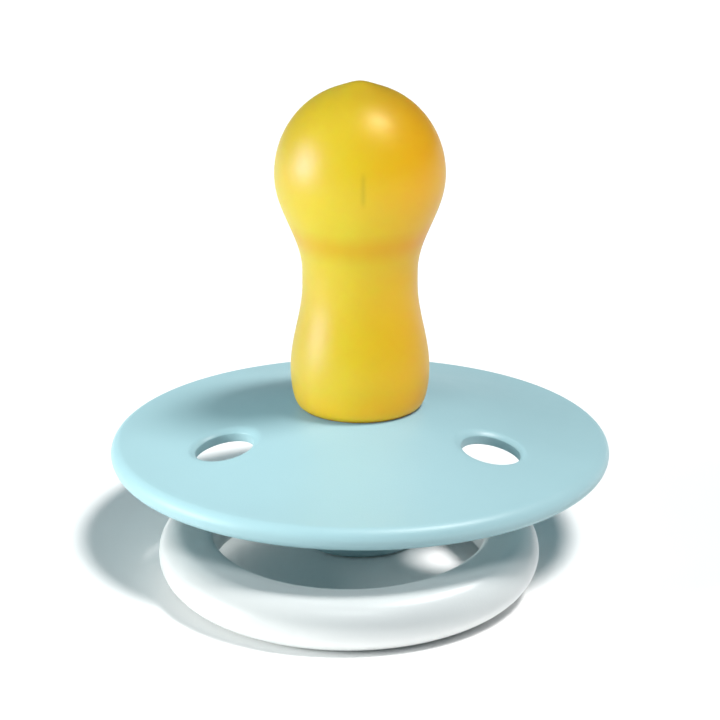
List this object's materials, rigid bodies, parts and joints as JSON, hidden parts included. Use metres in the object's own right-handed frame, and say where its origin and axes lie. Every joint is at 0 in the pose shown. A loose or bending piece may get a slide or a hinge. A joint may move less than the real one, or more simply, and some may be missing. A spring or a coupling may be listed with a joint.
{
  "type": "pacifier",
  "caption": "Round-shield pacifier: hollow latex nipple with a cherry bulb on a domed vented shield, and a free-swinging D-shaped ring hinged in the knob behind it.",
  "frame": {"origin": "centre of the flat end of the knob, on which the pacifier stands, on the nipple's axis", "axes": "+Z along the nipple's axis to its tip; the ring lies towards -Y; the ring's hinge axis is parallel to X"},
  "size_m": [0.043, 0.047, 0.0406],
  "materials": {
    "shield": "pale blue moulded polypropylene, satin",
    "latex": "translucent amber natural-rubber latex, smooth",
    "plug": "natural white moulded polypropylene",
    "ring": "white moulded polypropylene, satin"
  },
  "bodies": {
    "body": {"shield": "shield", "nipple": "latex", "inner_plug": "plug", "knob": "shield"},
    "handle": {"ring": "ring"}
  },
  "joints": [
    {"name": "ring_hinge", "type": "hinge", "parent": "body", "child": "handle", "pos_m": [0, 0, 0.00353], "axis": [1, 0, 0], "range_deg": [-7.5, 180.5]}
  ]
}
